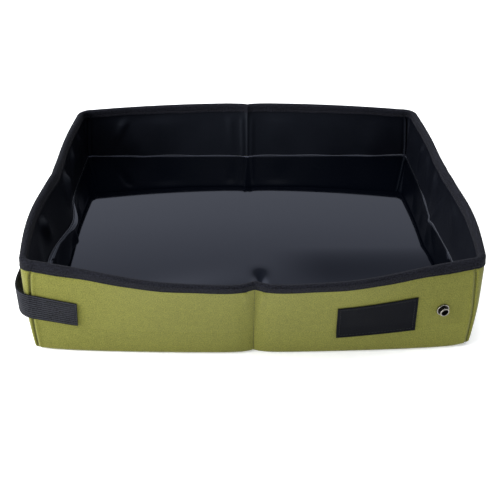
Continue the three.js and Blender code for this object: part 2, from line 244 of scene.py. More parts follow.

# %% [markdown]
# ## The black inside
#
# The walls are lined with cloth that is coated on one face, so it has a dull shine where the light grazes
# it. The floor is a smooth film over cloth. It is a mirror for the room: round its edges it shows the
# walls, and in the middle it shows the bright surroundings. Where it turns up at the seam, its glint is a
# painted highlight: a mark on the mesh tells the shader where to paint it pale grey and rougher.

# %% Black lining and floor film
def black_lining():
    cloth = Finish("coated_lining", Specular_IOR_Level=0.13, Specular_Tint=(0.75, 0.85, 1.0, 1.0))
    place = cloth_place(cloth)
    weave = woven(cloth, 0.8 * MM)
    tone = cloth.noise(place, 22.0, 3.0)
    cloth.set(Base_Color=cloth.mixed(tone, rgb(1, 2, 5), rgb(10, 11, 17)))
    cloth.set(Roughness=0.34 + tone * 0.2)
    cloth.set(Normal=cloth.bump(weave, 0.00006, 0.5))
    return cloth.material


def floor_film():
    film = Finish("floor_film", IOR=1.465, Specular_Tint=(0.5, 0.56, 0.82, 1.0))
    haze = film.noise(cloth_place(film), 30.0, 3.0)
    # Painted highlight: the 'edge' mark paints the film's turned-up seam pale grey, as if it caught the
    # light.
    painted_seam_glint = film.node("ShaderNodeAttribute", {"attribute_name": "edge"}, output=2)
    film.set(Base_Color=film.mixed(painted_seam_glint, rgb(1, 2, 5), rgb(66, 68, 74)))
    film.set(Roughness=0.025 + haze * 0.03 + painted_seam_glint * 0.4)
    return film.material


LINING = black_lining()
FILM = floor_film()
print("made", LINING.name, FILM.name)

# %% [markdown]
# ## Tape, webbing and patch
#
# Binding tape is ribbed across its width. Webbing has cords that run its length. The patch is a closer,
# darker cloth. All three are charcoal, a little blue, and all three are matte.

# %% Charcoal trims
def ribbed(name, dark, light, rib_pitch, ribs_along, depth, grain, rib_contrast=0.6):
    trim = Finish(name, Roughness=0.9, Sheen_Weight=0.02, Sheen_Roughness=0.45, Specular_IOR_Level=0.08)
    place = cloth_place(trim)
    along, across, _ = trim.parts(place)
    fine, coarse = (across, along) if ribs_along else (along, across)
    ribs = (fine * (2 * math.pi / rib_pitch)).wave() * 0.5 + 0.5
    picks = (coarse * (2 * math.pi / (1.3 * MM))).wave() * 0.5 + 0.5
    fuzz = trim.noise(place, 700.0, 2.0)
    tone = trim.noise(place, 40.0, 2.0)
    height = ribs * 0.7 + picks * 0.3
    shade = (height - 0.5) * rib_contrast + (fuzz - 0.5) * grain + (tone - 0.5) * 0.5 + 0.5
    trim.set(Base_Color=trim.mixed(shade.held(), dark, light))
    trim.set(Normal=trim.bump(height + fuzz * 0.4, depth, 0.7))
    return trim.material


TAPE = ribbed("binding_tape", rgb(1, 1, 3), rgb(28, 29, 36), 0.9 * MM, False, 0.00015, 2.8)
WEBBING = ribbed("strap_webbing", rgb(2, 3, 4), rgb(46, 47, 52), 2.3 * MM, True, 0.0004, 1.6, 1.5)
PATCH = ribbed("patch_cloth", rgb(2, 3, 6), rgb(11, 13, 18), 0.8 * MM, False, 0.0001, 1.6)
print("made", TAPE.name, WEBBING.name, PATCH.name)

# %% [markdown]
# ## Thread, metal and what is inside
#
# Sewing thread is a twisted, slightly shiny line. The snap is pressed steel with a dark nickel plating.
# The boards and pads are hidden between the cloths, and show only if the tray is cut open, yet each has
# its own finish, because the model can be taken apart.

# %% Small finishes
def plain_finish(name, dark, light, scale, roughness, depth=0.0001):
    made = Finish(name)
    tone = made.noise(made.node("ShaderNodeTexCoord", output=3), scale, 3.0)
    made.set(Base_Color=made.mixed(tone, dark, light))
    made.set(Roughness=roughness - 0.08 + tone * 0.16)
    made.set(Normal=made.bump(tone, depth, 0.3))
    return made.material


def nickel_plate():
    """Bright where it is rubbed, and painted almost black as shade where a mark on the mesh says that it is
    a recess.
    """
    metal = Finish("nickel_plate", Metallic=1.0)
    tone = metal.noise(metal.node("ShaderNodeTexCoord", output=3), 700.0, 3.0)
    recess = metal.node("ShaderNodeAttribute", {"attribute_name": "edge"}, output=2)
    rubbed = metal.mixed(tone, rgb(112, 108, 100), rgb(150, 146, 137))
    # Painted shade: the marked recess rings are mixed towards near black, standing in for the shade in the
    # hollow.
    metal.set(Base_Color=metal.mixed(recess, rubbed, rgb(26, 24, 22)))
    metal.set(Roughness=0.18 + tone * 0.1 + recess * 0.3)
    return metal.material


DARK_THREAD = plain_finish("dark_thread", rgb(1, 1, 3), rgb(7, 8, 11), 2500.0, 0.9)
GREEN_THREAD = plain_finish("olive_thread", rgb(34, 34, 14), rgb(58, 58, 27), 2500.0, 0.6)
NICKEL = nickel_plate()
PLASTIC_BOARD = plain_finish("board_plastic", rgb(196, 192, 180), rgb(212, 209, 198), 60.0, 0.6)
FOAM = plain_finish("pad_foam", rgb(222, 218, 208), rgb(240, 238, 230), 1500.0, 0.95, 0.0004)
print("made the small finishes")

# %% [markdown]
# ## The shape of the walls
#
# All sizes are millimetres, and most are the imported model's own. Seen from above, the front wall bows out
# towards the viewer, more at the rim than at the foot, and the sewn crease in the middle pulls it in
# again. The side walls wrap round the corners. A fabric wall is never quite true, so each also gets the
# little shapes that the plain model leaves out: a tight groove and two small pleats at the crease, a
# ridge and a groove at the corner seams, and corners that grow rounder towards the rim. The photograph's
# front rim hangs a little in the middle. Here it stays level, and the wall leans out further there
# instead, which puts the rim in the same place in the picture.

# %% Sizes
HALF_SPAN = 199.0
HALF_DEPTH = 166.0
RIM = cad_box[1][2] / MM
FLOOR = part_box("floor_lining_right")[1].z / MM
CORNER = 6.0
SEAM_X = HALF_SPAN - CORNER
SEAM_Y = HALF_DEPTH - CORNER
WALL = 4.0
TAPE_DROP = 8.6
TAPE_THICK = 0.8
TOUCH = 0.3
SPLIT = 28.0
FRONT_FOOT_BOW, FRONT_RIM_BOW, FRONT_LEAN = 6.5, 31.0, 7.8
BACK_RIM_BOW = 20.0
sides = {"right": 1, "left": -1}
SIDE_PINCH = {1: 3.0, -1: 9.0}
SIDE_MIDDLE = {1: 3.0, -1: 1.6}
SIDE_FRONT_BOW, SIDE_BACK_BOW = 7.0, 3.0
print("rim", round(RIM, 2), "floor", round(FLOOR, 2), "corner seams at", SEAM_X, SEAM_Y)


# %% Wall shapes, as distances out from the middle
def mix(low, high, share):
    return low + (high - low) * share


def hump(distance, reach):
    return np.exp(-((distance / reach) ** 2))


def eased(share):
    share = np.clip(share, 0, 1)
    return share * share * (3 - 2 * share)


def corner_radius(z):
    return mix(3.2, 10.5, np.clip(z / RIM, 0, 1) ** 1.3) + 4.5 * eased((z - 78.0) / 15.0)


def half_span(z):
    return HALF_SPAN - 3.6 * np.clip(1 - z / 46, 0, 1) ** 1.4


def seam_x(z):
    return half_span(z) - corner_radius(z)


def arch(x, z):
    return 1 - np.minimum(1, np.abs(x) / seam_x(z)) ** 2


def seam_ridge(from_seam, z):
    """A ridge beside a corner seam and the groove that it lies in, both gone under the tape."""
    below_tape = eased((RIM - TAPE_DROP + 1.5 - z) / 5)
    return (0.5 * hump(from_seam - 2.6, 1.5) - 1.3 * hump(from_seam, 0.9)) * below_tape


def front_out(x, z):
    share = z / RIM
    lean = FRONT_LEAN * share**2.5 * eased((150 - np.abs(x - 12)) / 90)
    bow = mix(FRONT_FOOT_BOW, FRONT_RIM_BOW, share) * arch(x, z) + lean
    flare = 2.2 * np.clip(1 - z / 30, 0, 1) ** 2 * (1 - np.minimum(1, np.abs(x) / seam_x(z)) ** 8)
    valley = mix(1.6, 3.4, share) * hump(x, mix(6.5, 8.0, share))
    pull = mix(1.4, 2.2, share) * hump(x, 15.0) + valley + 0.9 * hump(x, 1.7)
    fanned = hump(x + 10.0 * share, 2.4) + 1.1 * hump(x - 8.5 * share, 2.4)
    pleats = 2.4 * share**3 * fanned * eased((RIM - 5 - z) / 9)
    cushion = 0.9 * np.sin(np.pi * np.minimum(1, np.abs(x) / SEAM_X)) * np.sin(np.pi * np.clip(share, 0, 1))
    ridge = seam_ridge(seam_x(z) - np.abs(x), z)
    return HALF_DEPTH + bow + flare - pull + pleats + cushion + ridge


def back_out(x, z):
    share = np.maximum(0, (z - FLOOR) / (RIM - FLOOR))
    pull = (1.2 + 1.6 * share) * (0.6 * hump(x, 14.0) + 0.4 * hump(x, 4.0)) + 1.0 * hump(x, 1.5)
    ridge = seam_ridge(seam_x(z) - np.abs(x), z)
    return HALF_DEPTH + BACK_RIM_BOW * share * arch(x, z) - pull + ridge


def side_out(side, y, z):
    far = HALF_DEPTH - corner_radius(z)
    bulge = np.where(y < 0, SIDE_FRONT_BOW, SIDE_BACK_BOW) * np.sin(np.pi * np.minimum(far, np.abs(y)) / far)
    bow = (bulge + SIDE_MIDDLE[side] * hump(y, 26.0)) * (z / RIM)
    near_floor = np.where(z < FLOOR, z / FLOOR, (RIM - z) / (RIM - FLOOR))
    return half_span(z) + bow - SIDE_PINCH[side] * near_floor * hump(y, 34.0)


print("front rim at the crease and beside it", [round(float(front_out(x, RIM)), 1) for x in (0.0, 30.0)])

# %% [markdown]
# ## Columns along a wall
#
# Cloth, lining and tape all follow the same path round the tray at different depths. A column is a place
# on that path: given a depth inside the outer face and a height, it answers with a point. Whole walls are
# then grids of columns, and the corners come for free.

# %% Columns
CORNER_STEPS = 9


def stiff_wall(shape, end):
    """For the front or the back wall: a function that gives columns from the crease to a corner seam."""
    def columns(side, places):
        def at(place):
            def column(inset, z):
                x = place * seam_x(z) / SEAM_X
                return side * x, end * (shape(x, z) - inset)
            return column
        return [at(place) for place in places]
    return columns


front_columns, back_columns = stiff_wall(front_out, -1), stiff_wall(back_out, 1)


def walls_of(name, side):
    """The two stiff walls of one half: name, columns, and 1 or -1 for how a layer's back lies behind it."""
    return [(f"front_{name}", front_columns, float(-side)), (f"back_{name}", back_columns, float(side))]


def corner_columns(side, end):
    def at(angle):
        def column(inset, z):
            radius = np.maximum(0.5, corner_radius(z) - inset)
            across = half_span(z) - inset - radius + radius * math.sin(angle)
            deep = HALF_DEPTH - inset - radius + radius * math.cos(angle)
            return side * across, end * (deep + seam_ridge(angle * corner_radius(z), z))
        return column
    return [at(math.pi / 2 * share**1.4) for share in np.linspace(0, 1, CORNER_STEPS)]


def side_columns(side, places):
    def at(place):
        def column(inset, z):
            y = place * (HALF_DEPTH - corner_radius(z)) / SEAM_Y
            return side * (side_out(side, y, z) - inset), y
        return column
    straight = [at(place) for place in places]
    return corner_columns(side, -1) + straight + corner_columns(side, 1)[::-1]


def wall_grid(columns, insets, heights):
    """Points of a surface in rows up the wall and columns along it."""
    insets, heights = np.asarray(insets, float), np.asarray(heights, float)
    stack = []
    for column in columns:
        x, y = column(insets, heights)
        stack.append(np.stack([x + 0 * heights, y + 0 * heights, heights], axis=-1))
    return np.stack(stack, axis=1)


def wall_places(count, power=1.7):
    """Places from the crease to the corner seam, close together where the cloth bends sharply."""
    open_wall = (SEAM_X - 7) * np.linspace(0, 1, count) ** power
    return np.concatenate([open_wall, SEAM_X - np.array([5.6, 4.4, 3.4, 2.6, 1.9, 1.3, 0.8, 0.4, 0.0])])


def side_places(count):
    return np.linspace(-SEAM_Y, SEAM_Y, count)[1:-1]


print("columns from the crease to a corner seam:", len(front_columns(1, wall_places(60))))

# %% [markdown]
# ## Cloth from a grid
#
# A real cloth has a thickness, and its cut edge shows at a hem. So each grid becomes two layers, the face
# and the back, joined by a narrow rim all round. The UV map is the length along the rows and up the
# columns, in metres, so no weave is stretched.


def lengths_along(grid, axis):
    steps = np.linalg.norm(np.diff(grid, axis=axis), axis=2).mean(axis=1 - axis)
    return np.concatenate([[0], np.cumsum(steps)])


def line_lengths(line):
    """How far each point lies along a line of points, or each ring along a row of rings."""
    steps = np.linalg.norm(np.diff(line, axis=0), axis=-1)
    steps = steps.mean(axis=1) if steps.ndim > 1 else steps
    return np.concatenate([[0], np.cumsum(steps)])


def grid_normals(grid):
    up, along = np.gradient(grid, axis=0), np.gradient(grid, axis=1)
    normal = np.cross(along, up)
    return normal / np.maximum(1e-9, np.linalg.norm(normal, axis=2, keepdims=True))


def foot_lifted(points):
    """The foot's four corners stand a little off the ground, the right ones more."""
    x, y, z = np.array(points, float).T
    near_corner = hump(np.abs(x) - HALF_SPAN, 11.0) * hump(np.abs(y) - HALF_DEPTH, 11.0)
    lift = np.where(x > 0, 4.6, 2.2) * near_corner * np.clip(1 - z / 20, 0, 1) ** 2
    return np.stack([x, y, z + lift], axis=-1)


def enclosed(points, faces):
    """Six times the volume inside, below 0 where the faces look inwards."""
    total = 0.0
    p = points[np.asarray(faces)]
    for k in range(1, p.shape[1] - 1):
        total += np.einsum("ij,ij->i", p[:, 0], np.cross(p[:, k], p[:, k + 1])).sum()
    return total


def build(name, points, faces, flat, material, crisp=40, marks=None):
    """A closed mesh that faces outwards. flat is where each point lies when the cloth is laid out."""
    if enclosed(points, [face for face in faces if len(face) == 4]) < 0:
        faces = [face[::-1] for face in faces]
    mesh = bpy.data.meshes.new(name)
    mesh.from_pydata((foot_lifted(points) * MM).tolist(), [], [list(map(int, f)) for f in faces])
    mesh.validate()
    layer = mesh.uv_layers.new(name="cloth")
    loops = np.zeros(len(mesh.loops), np.int32)
    mesh.loops.foreach_get("vertex_index", loops)
    layer.data.foreach_set("uv", (np.asarray(flat, float)[loops] * MM).astype(np.float32).ravel())
    # marks go on the mesh as 'edge', which the film paints as a highlight and the nickel paints as shade.
    if marks is not None:
        mesh.attributes.new("edge", "FLOAT", "POINT").data.foreach_set("value", marks.astype(np.float32))
    mesh.polygons.foreach_set("use_smooth", [True] * len(mesh.polygons))
    mesh.set_sharp_from_angle(angle=math.radians(crisp))
    piece = bpy.data.objects.new(name, mesh)
    piece.data.materials.append(material)
    bpy.context.collection.objects.link(piece)
    return piece


def laid_flat(grid):
    """Each point's length along the rows and up the columns, for a face and its back."""
    lengths = np.meshgrid(lengths_along(grid, 1), lengths_along(grid, 0))
    return np.tile(np.stack(lengths, axis=-1).reshape(-1, 2), (2, 1))


def grid_faces(index):
    """The corners of each face between neighbouring rows and columns of point numbers."""
    return np.stack([index[:-1, :-1], index[:-1, 1:], index[1:, 1:], index[1:, :-1]], axis=-1).reshape(-1, 4)


def cloth(name, grid, thickness, material, inward=1.0, marks=None):
    """A closed, thin piece. The grid is its face, and inward is 1 where its back lies along the normals."""
    back = grid + grid_normals(grid) * thickness * inward
    points = np.concatenate([grid.reshape(-1, 3), back.reshape(-1, 3)])
    offset = len(points) // 2
    index = np.arange(offset).reshape(grid.shape[:2])
    face = grid_faces(index)
    ring = np.concatenate([index[0, :-1], index[:-1, -1], index[-1, :0:-1], index[:0:-1, 0]])
    after = np.roll(ring, -1)
    rim = np.stack([after, ring, ring + offset, after + offset], axis=-1)
    faces = np.concatenate([face, face[:, ::-1] + offset, rim])
    marks = None if marks is None else np.tile(marks.reshape(-1), 2)
    return build(name, points, faces, laid_flat(grid), material, marks=marks)


print("cloth maker ready")

# %% [markdown]
# ## Sewing
#
# A stitch is a short piece of thread that lies on the cloth and dives in at both ends. Runs of them are
# made from a line of points, and all the stitches of one seam are one mesh.

# %% Stitches
def spaced(line, pitch):
    """Middles and directions at an even pitch along a line of points."""
    line = np.asarray(line, float)
    reached = line_lengths(line)
    marks = np.arange(pitch / 2, reached[-1], pitch)

    def at(places):
        places = np.clip(places, 0, reached[-1])
        return np.stack([np.interp(places, reached, line[:, k]) for k in range(3)], axis=-1)

    ahead = at(marks + 0.2) - at(marks - 0.2)
    return at(marks), ahead / np.linalg.norm(ahead, axis=1, keepdims=True)


def stitches(name, lines, material, pitch=3.2, length=2.3, radius=0.24, around=6):
    points, faces = [], []
    angles = np.linspace(0, 2 * math.pi, around, endpoint=False)
    profile = [(-0.5, 0.35), (-0.38, 1.0), (0.38, 1.0), (0.5, 0.35)]
    neighbours = list(zip(range(around), [*range(1, around), 0]))
    for line in lines:
        for middle, ahead in zip(*spaced(line, pitch)):
            aside = np.cross(ahead, (0.3, 0.2, 1.0) if abs(ahead[2]) < 0.8 else (1.0, 0.2, 0.0))
            aside /= np.linalg.norm(aside)
            upright = np.cross(ahead, aside)
            circle = np.outer(np.cos(angles), aside) + np.outer(np.sin(angles), upright)
            first = len(points)
            for share, size in profile:
                points += list(middle + ahead * length * share + circle * radius * size)
            for k in range(len(profile) - 1):
                low, high = first + k * around, first + (k + 1) * around
                faces += [[low + i, low + j, high + j, high + i] for i, j in neighbours]
            faces.append([first + i for i in range(around)][::-1])
            faces.append([first + (len(profile) - 1) * around + i for i in range(around)])
    points = np.array(points)
    return build(name, points, faces, points[:, :2], material, 60)


print("needle ready")

# %% [markdown]
# ## Ties to the frame
#
# Each piece is either left where it was built or tied to the body that carries it, and the imported
# solids that it stands for are hidden. The soft side walls have no hinge, and their pieces are tied to
# their half of the base.


def bends_at_fold(piece):
    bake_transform(piece)


def bends_at_hinge(piece):
    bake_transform(piece)


def sinks(piece, name):
    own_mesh(piece)
    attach(piece, f"base_{name}")


def stands_for(piece, slot, *solids):
    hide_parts(*solids)


# %% [markdown]
# ## The skirts and the base cloth
#
# Under the wall hinge the green cloth belongs to the padded base. One skirt runs round the front and one
# round the back, each across both halves, so the cloth is whole across the crease. Its upper
# edge is tucked behind the wall panels, up to the floor, so nothing gapes round the fold. The underside is
# one more cloth, which lies flat on the ground and ends over the turned-in hem of the skirts.

# %% Front and back skirts
OXFORD_THICK = 0.8
FOOT = 3.4
HEM_INSET = 12.0
TUCKED = 1.0


def foot_profile(top, rises=14):
    """Depth and height from under the tray, round the foot, and up to a height."""
    turns = np.linspace(0, math.pi / 2, 8)
    under = [(HEM_INSET, 1.2), (HEM_INSET - 3, 1.1), (FOOT + 1, 0.2)]
    bend = [(FOOT * (1 - math.sin(a)), FOOT * (1 - math.cos(a))) for a in turns]
    return np.array(under + bend + [(0.0, z) for z in np.linspace(FOOT, top, rises)[1:]])


def both_halves(columns_of):
    places = wall_places(60)
    return columns_of(-1, places)[:0:-1] + columns_of(1, places)


tucked_edge = [(0.35, SPLIT + 1.2)] + [(TUCKED, z) for z in np.linspace(SPLIT + 2.2, FLOOR - 0.5, 4)]
skirt_profile = np.vstack([foot_profile(SPLIT), tucked_edge])
for end, columns_of, inward in (("front", front_columns, -1.0), ("back", back_columns, 1.0)):
    grid = wall_grid(both_halves(columns_of), skirt_profile[:, 0], skirt_profile[:, 1])
    skirt = cloth(f"{end}_skirt", grid, OXFORD_THICK, OLIVE, inward)
    bends_at_fold(skirt)
print("skirts", round(lengths_along(grid, 1)[-1]), "mm long")

# %% Underside
under_x = np.linspace(-1, 1, 61) * (HALF_SPAN - HEM_INSET)
under_front, under_back = (HEM_INSET - 3) - front_out(under_x, 0.0), back_out(under_x, 0.0) - (HEM_INSET - 3)
under_rows = []
for share in np.linspace(0, 1, 15):
    under_rows.append(np.stack([under_x, mix(under_front, under_back, share), 0.1 + 0 * under_x], axis=-1))
underside = cloth("base_underside_cloth", np.array(under_rows), 0.7, OLIVE, 1.0)
bends_at_fold(underside)
stands_for(underside, "outer_fabric", "base_cover_right", "base_cover_left")
print("underside", [round(v, 3) for v in underside.dimensions])

# %% [markdown]
# ## The green walls
#
# The front and back walls are cut in two at the crease, and each half carries a board, so it stays flat
# and turns as one plate. The cloth starts on the base, below the hinge, and follows the wall above it.
# The side walls have no board, and they crumple when the tray folds. Here their cloth is only tied to
# the base.

# %% Green wall panels
wall_top = RIM - 1.2
panel_heights = np.concatenate([np.linspace(SPLIT, 44, 12), np.linspace(44, wall_top, 26)[1:]])
for name, side in sides.items():
    for wall, columns_of, lie in walls_of(name, side):
        grid = wall_grid(columns_of(side, wall_places(72)), 0 * panel_heights, panel_heights)
        panel = cloth(f"{wall}_panel", grid, OXFORD_THICK, OLIVE, lie)
        bends_at_hinge(panel)
        stands_for(panel, "outer_fabric", f"{wall}_outer")
    profile = foot_profile(wall_top, 36)
    grid = wall_grid(side_columns(side, side_places(90)), profile[:, 0], profile[:, 1])
    panel = cloth(f"{name}_side_panel", grid, OXFORD_THICK, OLIVE, float(-side))
    sinks(panel, name)
    stands_for(panel, "outer_fabric", f"{name}_side_outer")
print("green walls made")

# %% [markdown]
# The two halves of the front wall are sewn down the crease, and the corners are sewn from the ground to
# the tape. Both seams lie in a groove, so their thread is in shade.

# %% Crease and corner seams
PROUD = 0.1


def up_the_wall(column, low, high):
    """The line of a seam, which lies just proud of the cloth."""
    heights = np.linspace(low, high, 40)
    return np.stack([*column(np.full(40, -PROUD), heights), heights], axis=-1)


for end, columns_of in (("front", front_columns), ("back", back_columns)):
    middle = columns_of(1, [0.0])[0]
    low, high = (up_the_wall(middle, *reach) for reach in ((FOOT, SPLIT), (SPLIT, RIM - TAPE_DROP)))
    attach(stitches(f"{end}_crease_thread_low", [low], GREEN_THREAD, 2.6, 1.7), "base_right")
    bends_at_hinge(stitches(f"{end}_crease_thread", [high], GREEN_THREAD, 2.6, 1.7))
for name, side in sides.items():
    lines = [up_the_wall(corner_columns(side, end)[1], FOOT, RIM - TAPE_DROP) for end in (-1, 1)]
    sinks(stitches(f"{name}_corner_thread", lines, GREEN_THREAD, 3.0, 2.1), name)
print("seams sewn")

# %% [markdown]
# ## The black linings
#
# A lining is a little larger than the space it lines, so it creases. The folds below were placed one by one:
# a soft upright fold each side of the back crease, a deep one near the left corner, and slanting ones in
# the side walls where they bulge. A fold is a ridge with a place, a width and a depth, which can lean as
# it rises, and which fades at the top or at the foot.

# %% Lining folds
def whole(share):
    return 1.0 + 0.0 * share


def rising(share):
    return eased(share * 1.6)


def falling(share):
    return eased(1.3 - share * 1.5)


FOLDS = {
    "back_right": [
        (5.0, 2.6, 0.9, 1.0, whole), (44.0, 14.0, 1.2, -8.0, rising), (150.0, 14.0, 1.2, 10.0, falling),
    ],
    "back_left": [
        (5.5, 2.4, 1.0, 1.5, whole), (17.0, 5.0, 1.3, 6.0, rising), (166.0, 5.0, 2.6, -22.0, rising),
        (128.0, 12.0, 1.4, 14.0, falling), (96.0, 22.0, 1.0, 10.0, rising),
    ],
    "front_right": [(8.0, 3.0, 1.4, 0.0, whole), (90.0, 24.0, 1.0, 0.0, rising)],
    "front_left": [(8.0, 3.0, 1.4, 0.0, whole), (120.0, 20.0, 1.2, 0.0, falling)],
    "left_side": [
        (134.0, 5.0, 3.4, -12.0, rising), (66.0, 8.0, 4.4, 26.0, rising), (10.0, 7.0, 7.0, 24.0, rising),
        (-44.0, 10.0, 6.0, -36.0, rising), (-104.0, 13.0, 3.0, 18.0, falling),
    ],
    "right_side": [
        (104.0, 5.0, 3.4, -14.0, rising), (52.0, 7.0, 2.4, 18.0, rising), (2.0, 5.0, 2.0, -24.0, falling),
        (16.0, 7.0, 3.0, 10.0, rising), (-72.0, 14.0, 2.6, 30.0, rising),
    ],
}


def fold_depth(wall, along, z):
    """How far the lining's folds stand in from the wall."""
    share = (z - FLOOR) / (RIM - FLOOR)
    far = SEAM_Y if "side" in wall else SEAM_X
    calm = eased((RIM - TAPE_DROP - 1.5 - z) / 12) * eased((far - np.abs(along)) / 16)
    ridges = 0.0
    for place, width, depth, lean, fade in FOLDS[wall]:
        ridges = ridges + depth * hump(along - place - lean * share, width) * fade(share)
    return ridges * calm


def creased(columns, places, wall, heights):
    def shaped(column, along):
        return lambda inset, z: column(inset + fold_depth(wall, along, z), z)
    return wall_grid([shaped(c, a) for c, a in zip(columns, places)], np.full(len(heights), WALL), heights)


LINING_THICK = 0.6
lining_heights = np.linspace(FLOOR + 0.2, wall_top, 40)
for name, side in sides.items():
    for wall, columns_of, lie in walls_of(name, side):
        places = wall_places(90, 1.25)
        grid = creased(columns_of(side, places), places, wall, lining_heights)
        piece = cloth(f"{wall}_lining_cloth", grid, LINING_THICK, LINING, -lie)
        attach(piece, f"{wall}_wall")
        stands_for(piece, "lining_fabric", f"{wall}_lining")
    places = side_places(130)
    along = np.concatenate([[-SEAM_Y] * CORNER_STEPS, places, [SEAM_Y] * CORNER_STEPS])
    grid = creased(side_columns(side, places), along, f"{name}_side", lining_heights)
    piece = cloth(f"{name}_side_lining_cloth", grid, LINING_THICK, LINING, float(side))
    sinks(piece, name)
    stands_for(piece, "lining_fabric", f"{name}_side_lining")
print("linings made")

# %% [markdown]
# ## The floor film
#
# The floor is one glossy cloth over both pads. It is nearly flat, and being a mirror it shows every small
# swell near the crease, so the swells are in the mesh. All round, its sewn edge turns up against the
# lining and follows the lining's folds, and a painted highlight along that turned-up edge makes the wavy
# pale line at the foot of the walls. The left edge stands looser, with a brighter painted highlight, and
# the painted highlight fades towards the far ends of both side edges.

# %% Floor film
def swell(x, y):
    near = eased((-50.0 - y) / 70.0)
    left_cushion = 1.1 * hump(x + 70.0, 60.0) * hump(y + 118.0 - 0.25 * x, 26.0)
    right_slope = -2.6 * eased((x - 8.0) / 70.0) * near
    pocket = 3.6 * hump(x - 7.5, 5.0) * eased((-87.0 - y) / 22.0)
    crease = 0.5 * hump(x - 7.0, 9.0) * eased((-80.0 - y) / 24.0) + 0.15 * hump(x, 4.0)
    return left_cushion + np.maximum(right_slope - crease - pocket, -5.0)


def floor_reach(side, y):
    wall = "right_side" if side > 0 else "left_side"
    return side_out(side, y, FLOOR) - WALL - fold_depth(wall, y, FLOOR)


def floor_ends(x):
    ends = []
    for shape, end in ((front_out, "front"), (back_out, "back")):
        right, left = (fold_depth(f"{end}_{name}", np.abs(x), FLOOR) for name in ("right", "left"))
        ends.append(shape(x, FLOOR) - WALL - np.where(x > 0, right, left))
    return ends


def floor_lines(inner):
    """Share of the way out, distance kept from the wall, how far the cloth turns up, and how strong its
    painted highlight is.
    """
    edge = [(1.0, 1.0, 0.2, 0.2), (1.0, 0.75, 0.8, 0.6), (1.0, 0.7, 1.2, 1.0)]
    middle = [(share, 1.8, 0.0, 0.0) for share in inner]
    return np.array([(-share, gap, rise, mark) for share, gap, rise, mark in edge[::-1]] + middle + edge)


def floor_grid():
    out = np.linspace(0, 1, 64) ** 1.25
    across = floor_lines(np.concatenate([-out[:0:-1], out]))
    deep = floor_lines(np.linspace(-1, 1, 111))
    v, gap_v, rise_v, mark_v = (deep[:, k][:, None] for k in range(4))
    u, gap_u, rise_u, mark_u = (across[:, k][None, :] for k in range(4))
    y_guess = v * (HALF_DEPTH - WALL)
    reach = np.where(u > 0, floor_reach(1, y_guess), floor_reach(-1, y_guess))
    x = u * (reach - gap_u)
    front, back = floor_ends(x)
    y = mix(-(front - gap_v), back - gap_v, (v + 1) / 2)
    rise = np.maximum(rise_u, rise_v)
    loose_left = (u < -0.99) * (2.6 * hump(y - 8.0, 24.0) + 2.0 * hump(y + 64.0, 34.0))
    turned_up = rise * (1 + 0.3 * np.sin((x + y) / 9.0) + 0.25 * np.sin((x - y) / 23.0) + loose_left)
    z = FLOOR - 0.5 + swell(x, y) * (rise == 0) + turned_up
    # Painted highlight along the turned-up edge: stronger where the left edge stands loose, fading towards
    # the far ends of the side edges.
    painted_glint_far_fade = 1.0 - 0.8 * (np.abs(u) > 0.99) * eased((y - 52.0) / 30.0)
    pale = np.maximum(mark_u, mark_v) * (1 + 1.5 * loose_left) * painted_glint_far_fade
    return np.stack([x, y, z], axis=-1), np.minimum(1.0, pale)


grid, marks = floor_grid()
film = cloth("floor_film_sheet", grid, 0.5, FILM, -1.0, marks)
bends_at_fold(film)
stands_for(film, "floor_film", "floor_lining_right", "floor_lining_left")
print("floor film", [round(1000 * v) for v in film.dimensions])

# %% [markdown]
# ## Swept trims
#
# Tape and webbing have one section all along. A section is a closed list of points, and it is carried
# from column to column, then closed at both ends.

# %% Sweep
def tube(name, points, around, flat, material, crisp, marks=None):
    """Closed rings of points, joined one to the next, with a cap at each end."""
    index = np.arange(len(points)).reshape(-1, around)
    faces = [*grid_faces(np.hstack([index, index[:, :1]])), index[0][::-1], index[-1]]
    return build(name, points, faces, flat, material, crisp, marks)


def sweep(name, rings, section, material, crisp=40):
    """rings is an array of closed sections, one a step, and section is one of them laid out flat."""
    lengths = np.meshgrid(line_lengths(rings), line_lengths(section), indexing="ij")
    flat = np.stack(lengths, axis=-1).reshape(-1, 2)
    return tube(name, rings.reshape(-1, 3), rings.shape[1], flat, material, crisp)


print("sweep ready")

# %% [markdown]
# ## The binding tape
#
# The tape is folded over the rim, so its section is a long narrow U with a round back. It is sewn through
# near its lower edges, where it dips a little under the thread. Tape goes on by hand, so its lower edge
# wanders by a fraction of a millimetre.

# %% Binding
TAPE_LOW = RIM - TAPE_DROP
SEWN_AT = TAPE_LOW + 2.0
TAPE_OUT, TAPE_IN = -(TOUCH + TAPE_THICK), WALL + TOUCH + TAPE_THICK
TAPE_ROUND = (TAPE_IN - TAPE_OUT) / 2
SHOULDER = RIM - TAPE_ROUND * 0.75


def tape_section():
    """Depth and height round the closed section: up the outside of the U, and back through its hollow."""
    middle, thin = (TAPE_OUT + TAPE_IN) / 2, TAPE_ROUND - TAPE_THICK
    sewn = [SEWN_AT + step for step in (-0.5, 0.0, 0.5, 1.2)]
    rise = np.array([TAPE_LOW, TAPE_LOW + 0.9, *sewn, SHOULDER])
    bends = np.linspace(math.pi, 0, 13)[1:-1]
    face = [(TAPE_OUT, z) for z in rise]
    face += [(middle + TAPE_ROUND * math.cos(a), SHOULDER + TAPE_ROUND * 0.75 * math.sin(a)) for a in bends]
    face += [(TAPE_IN, z) for z in rise[::-1]]
    hollow = [(TAPE_IN - TAPE_THICK, z) for z in rise]
    hollow += [(middle - thin * math.cos(a), SHOULDER + thin * 0.7 * math.sin(a)) for a in bends]
    hollow += [(TAPE_OUT + TAPE_THICK, z) for z in rise[::-1]]
    return np.array(face + hollow), len(face)


